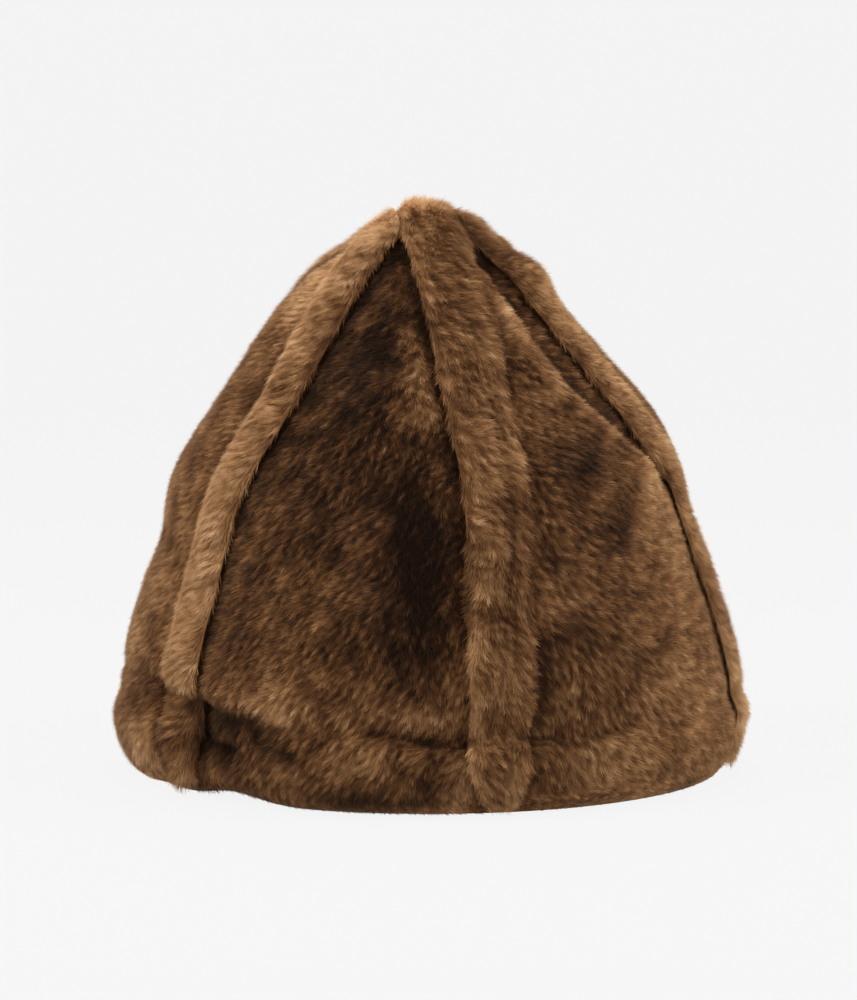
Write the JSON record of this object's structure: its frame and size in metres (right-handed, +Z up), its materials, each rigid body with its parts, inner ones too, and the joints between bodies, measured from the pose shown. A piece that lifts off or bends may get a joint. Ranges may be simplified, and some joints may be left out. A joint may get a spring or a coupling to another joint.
{
  "type": "turkmen telpek hat",
  "caption": "Bell-shaped cap of sheared sheepskin, sewn from tapered gores with a raised fur strip over every seam and a turned-in hem.",
  "frame": {"origin": "middle of the footprint, on the surface that the hem rests on", "axes": "+Z up through the crown, -Y to the front that the picture shows, +X to the right as seen in it"},
  "size_m": [0.235, 0.2354, 0.2105],
  "materials": {
    "crown_shearling": "short sheared sheepskin pile, soft and matt with a silky sheen, suede on the inside",
    "strip_shearling": "the same sheared sheepskin in a lighter, slightly longer pile"
  },
  "bodies": {
    "root": {"gore_1": "crown_shearling", "gore_2": "crown_shearling", "gore_3": "crown_shearling", "gore_4": "crown_shearling", "gore_5": "crown_shearling", "gore_6": "crown_shearling", "strip_front_back": "strip_shearling", "strip_right": "strip_shearling", "strip_back_right": "strip_shearling", "strip_back_left": "strip_shearling", "strip_left": "strip_shearling"}
  },
  "joints": []
}
